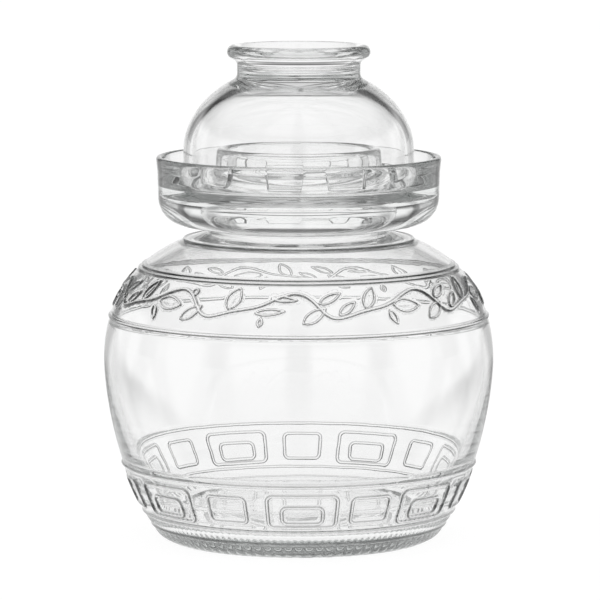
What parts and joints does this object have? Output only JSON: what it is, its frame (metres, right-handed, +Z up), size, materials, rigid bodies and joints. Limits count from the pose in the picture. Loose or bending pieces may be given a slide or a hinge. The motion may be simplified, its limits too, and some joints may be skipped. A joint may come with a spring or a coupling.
{
  "type": "glass fermentation crock",
  "caption": "Clear glass fermentation crock with a round belly, a water-seal moat round its mouth collar, and a domed lid with a notched rim and a cup-shaped grip.",
  "frame": {"origin": "middle of the foot, on the surface that the crock stands on", "axes": "+Z up along the axis of the jar and lid, -Y towards the front, +X to the right"},
  "size_m": [0.2354, 0.2354, 0.2978],
  "materials": {
    "jar_glass": "clear moulded soda-lime glass with raised bands, smooth inside and slightly rippled at the moat",
    "lid_glass": "clear pressed soda-lime glass, fire polished"
  },
  "bodies": {
    "jar": {"jar": "jar_glass"},
    "lid": {"lid": "lid_glass"}
  },
  "joints": [
    {"name": "lid_lift", "type": "slide", "parent": "jar", "child": "lid", "axis": [0, 0, 1], "range_m": [0, 0.12]}
  ]
}
